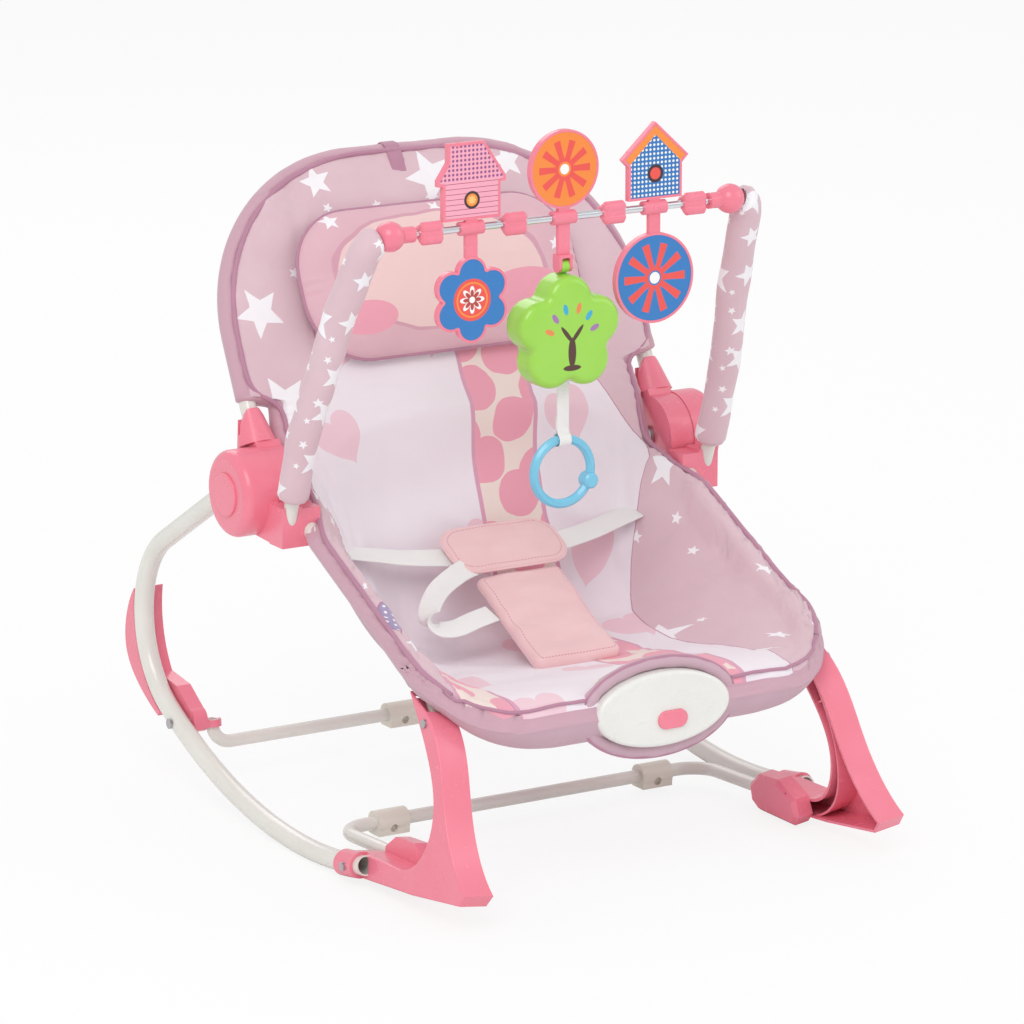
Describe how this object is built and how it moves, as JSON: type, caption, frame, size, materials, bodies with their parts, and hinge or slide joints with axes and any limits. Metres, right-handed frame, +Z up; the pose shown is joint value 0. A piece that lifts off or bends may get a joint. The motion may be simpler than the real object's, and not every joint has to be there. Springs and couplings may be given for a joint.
{
  "type": "bouncer seat",
  "caption": "Infant bouncer seat on curved steel rails: padded sling, reclining back with pillow, vibration unit, fold-out kickstand and lift-off toy bar.",
  "frame": {"origin": "floor level under the middle of the seat", "axes": "+Z up, -Y the way the seat faces, +X to the right as seen from the front"},
  "size_m": [0.529, 0.6352, 0.6695],
  "materials": {
    "white_enamel": "gloss",
    "ivory_plastic": "satin",
    "pink_plastic": "gloss",
    "white_plastic": "gloss",
    "steel": "brushed",
    "chrome": "polished",
    "cover_cloth": "printed woven",
    "pillow_cloth": "printed woven",
    "harness_satin": "satin",
    "webbing": "ribbed webbing",
    "mauve_piping": "woven tape",
    "print_orange": "gloss",
    "print_blue": "gloss",
    "green_plastic": "gloss",
    "blue_plastic": "gloss",
    "cell_wrap": "satin"
  },
  "bodies": {
    "base": {"right_rail": "white_enamel", "left_rail": "white_enamel", "right_front_foot": "pink_plastic", "left_front_foot": "pink_plastic", "front_brace": "white_enamel", "brace_sleeves": "ivory_plastic", "right_brace_block": "pink_plastic", "left_brace_block": "pink_plastic", "right_hub_housing": "pink_plastic", "left_hub_housing": "pink_plastic", "hub_axles": "steel", "button_springs": "steel", "seat_tube": "white_enamel", "seat_clips": "ivory_plastic", "frame_screws": "steel", "kick_bolts": "steel", "seat_cover": "cover_cloth", "crotch_pad": "harness_satin", "crotch_flap": "harness_satin", "waist_straps": "webbing", "unit_cover": "white_plastic", "unit_base": "white_plastic", "battery_door": "white_plastic", "unit_motor": "steel", "unit_batteries": "cell_wrap", "unit_screws": "steel"},
    "back": {"right_recline_arm": "pink_plastic", "left_recline_arm": "pink_plastic", "back_tube": "white_enamel", "back_cover": "cover_cloth", "head_pillow": "pillow_cloth", "pillow_strap": "mauve_piping"},
    "kickstand": {"kick_bar": "white_enamel", "kick_sleeve": "ivory_plastic", "right_kick_foot": "pink_plastic", "left_kick_foot": "pink_plastic"},
    "right_button": {"right_recline_button": "pink_plastic", "right_lock_gear": "steel"},
    "left_button": {"left_recline_button": "pink_plastic", "left_lock_gear": "steel"},
    "unit_push": {"unit_button": "pink_plastic"},
    "toy_bar": {"toy_bar_legs": "white_enamel", "toy_bar_caps": "pink_plastic", "leg_sleeves": "cover_cloth", "toy_rod": "chrome"},
    "toy_left": {"house_toy_frame": "pink_plastic", "house_toy_plates": "print_orange"},
    "toy_middle": {"disc_toy_frame": "pink_plastic", "disc_toy_plate": "print_orange"},
    "toy_right": {"birdhouse_toy_frame": "pink_plastic", "birdhouse_toy_plates": "print_blue"},
    "rattle": {"rattle_front": "green_plastic", "rattle_back": "green_plastic"},
    "ring": {"ribbon": "webbing", "teething_ring": "blue_plastic"},
    "bead_1": {"bead_left_outer": "pink_plastic"},
    "bead_2": {"bead_left_inner": "pink_plastic"},
    "bead_3": {"bead_right_inner": "pink_plastic"},
    "bead_4": {"bead_right_outer": "pink_plastic"}
  },
  "joints": [
    {"name": "back_recline", "type": "hinge", "parent": "base", "child": "back", "pos_m": [0, 0.0745, 0.325], "axis": [-1, 0, 0], "range_deg": [0, 30]},
    {"name": "kickstand_fold", "type": "hinge", "parent": "base", "child": "kickstand", "pos_m": [0, 0.217, 0.0665], "axis": [-1, 0, 0], "range_deg": [0, 62]},
    {"name": "right_button_press", "type": "slide", "parent": "base", "child": "right_button", "axis": [-1, 0, 0], "range_m": [0, 0.003], "stiffness_N_per_m": 700, "deforming": ["button_springs"]},
    {"name": "left_button_press", "type": "slide", "parent": "base", "child": "left_button", "axis": [1, 0, 0], "range_m": [0, 0.003], "stiffness_N_per_m": 700, "deforming": ["button_springs"]},
    {"name": "unit_button_press", "type": "slide", "parent": "base", "child": "unit_push", "axis": [0, 1, 0], "range_m": [0, 0.002], "stiffness_N_per_m": 500},
    {"name": "toy_bar_lift", "type": "slide", "parent": "base", "child": "toy_bar", "axis": [0, -0.3149, 0.9491], "range_m": [0, 0.05]},
    {"name": "left_toy_spin", "type": "hinge", "parent": "toy_bar", "child": "toy_left", "pos_m": [0, -0.0945, 0.588], "axis": [1, 0, 0], "continuous": true},
    {"name": "right_toy_spin", "type": "hinge", "parent": "toy_bar", "child": "toy_right", "pos_m": [0, -0.0945, 0.588], "axis": [1, 0, 0], "continuous": true},
    {"name": "middle_toy_swing", "type": "hinge", "parent": "toy_bar", "child": "toy_middle", "pos_m": [0, -0.0945, 0.588], "axis": [1, 0, 0], "range_deg": [-45, 20]},
    {"name": "rattle_swing", "type": "hinge", "parent": "toy_middle", "child": "rattle", "pos_m": [0, -0.0945, 0.543], "axis": [1, 0, 0], "range_deg": [-45, 15]},
    {"name": "ring_swing", "type": "hinge", "parent": "rattle", "child": "ring", "pos_m": [0, -0.0945, 0.4346], "axis": [1, 0, 0], "range_deg": [-45, 20]},
    {"name": "bead_1_spin", "type": "hinge", "parent": "toy_bar", "child": "bead_1", "pos_m": [0, -0.0945, 0.588], "axis": [1, 0, 0], "continuous": true},
    {"name": "bead_2_spin", "type": "hinge", "parent": "toy_bar", "child": "bead_2", "pos_m": [0, -0.0945, 0.588], "axis": [1, 0, 0], "continuous": true},
    {"name": "bead_3_spin", "type": "hinge", "parent": "toy_bar", "child": "bead_3", "pos_m": [0, -0.0945, 0.588], "axis": [1, 0, 0], "continuous": true},
    {"name": "bead_4_spin", "type": "hinge", "parent": "toy_bar", "child": "bead_4", "pos_m": [0, -0.0945, 0.588], "axis": [1, 0, 0], "continuous": true}
  ]
}
